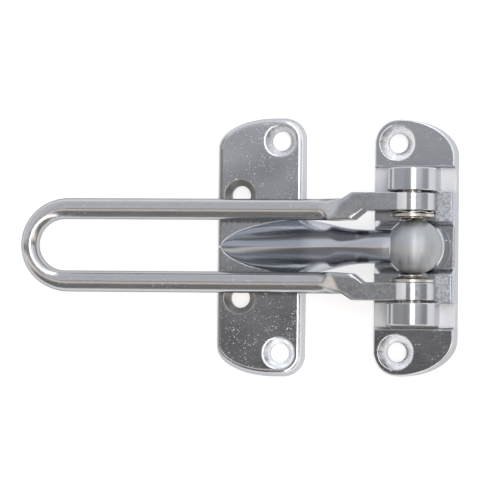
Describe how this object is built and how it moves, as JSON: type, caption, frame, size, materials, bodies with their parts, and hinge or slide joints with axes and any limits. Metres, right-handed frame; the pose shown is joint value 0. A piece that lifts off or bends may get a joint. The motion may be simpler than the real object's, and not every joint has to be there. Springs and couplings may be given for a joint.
{
  "type": "swing bar door guard",
  "caption": "Surface-mounted door guard: a U-shaped bar swings on a frame plate and traps a ball on an arm that stands out from a door plate.",
  "frame": {"origin": "foot of the pivot axis on the back face of the frame plate, on the line of symmetry", "axes": "+X from the bar's loop towards the frame plate, +Y along the plates, +Z away from the door"},
  "size_m": [0.1239, 0.0736, 0.0198],
  "materials": {
    "bright_chrome": "polished chrome plate over a die casting",
    "washer_steel": "nickel-plated steel"
  },
  "bodies": {
    "plates": {"frame_plate": "bright_chrome", "door_plate": "bright_chrome", "upper_pivot_pin": "washer_steel", "lower_pivot_pin": "washer_steel", "upper_flat_washer": "washer_steel", "upper_wave_washer": "washer_steel", "lower_dished_washer": "washer_steel"},
    "bar": {"swing_bar": "bright_chrome"}
  },
  "joints": [
    {"name": "bar_swing", "type": "hinge", "parent": "plates", "child": "bar", "pos_m": [0, 0, 0.012], "axis": [0, 1, 0], "range_deg": [0, 180]}
  ]
}
